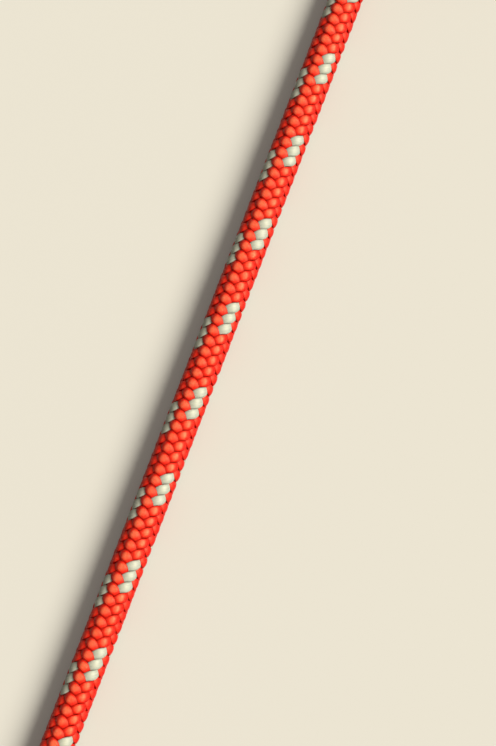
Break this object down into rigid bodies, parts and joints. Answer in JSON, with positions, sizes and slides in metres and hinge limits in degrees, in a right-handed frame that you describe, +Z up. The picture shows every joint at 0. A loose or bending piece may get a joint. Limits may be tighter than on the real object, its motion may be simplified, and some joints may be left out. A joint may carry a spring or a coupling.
{
  "type": "dynamic climbing rope",
  "caption": "Braided kernmantle climbing rope pulled straight, with a flat-laid figure-eight stopper knot and a sleeved, fused end beyond it at either side.",
  "frame": {"origin": "on the ground, under the middle of the straight rope", "axes": "+Y along the straight rope to its upper end, +Z up from the ground, +X to the right when looking along +Y"},
  "size_m": [0.064, 0.61, 0.0205],
  "materials": {
    "sheath": "braided nylon yarn, red with a group of white yarns",
    "core_yarn": "twisted nylon yarn",
    "tape": "plain film",
    "end_sleeve": "shrunk sleeve, satin",
    "fused_tip": "melted nylon"
  },
  "bodies": {
    "root": {"sheath_run": "sheath", "core_strand_01": "core_yarn", "core_strand_02": "core_yarn", "core_strand_03": "core_yarn", "core_strand_04": "core_yarn", "core_strand_05": "core_yarn", "core_strand_06": "core_yarn", "core_strand_07": "core_yarn", "core_strand_08": "core_yarn", "core_strand_09": "core_yarn", "core_strand_10": "core_yarn", "core_strand_11": "core_yarn", "core_strand_12": "core_yarn", "identification_tape": "tape", "upper_knot": "sheath", "upper_end_sleeve": "end_sleeve", "upper_fused_tip": "fused_tip", "lower_knot": "sheath", "lower_end_sleeve": "end_sleeve", "lower_fused_tip": "fused_tip"}
  },
  "joints": []
}
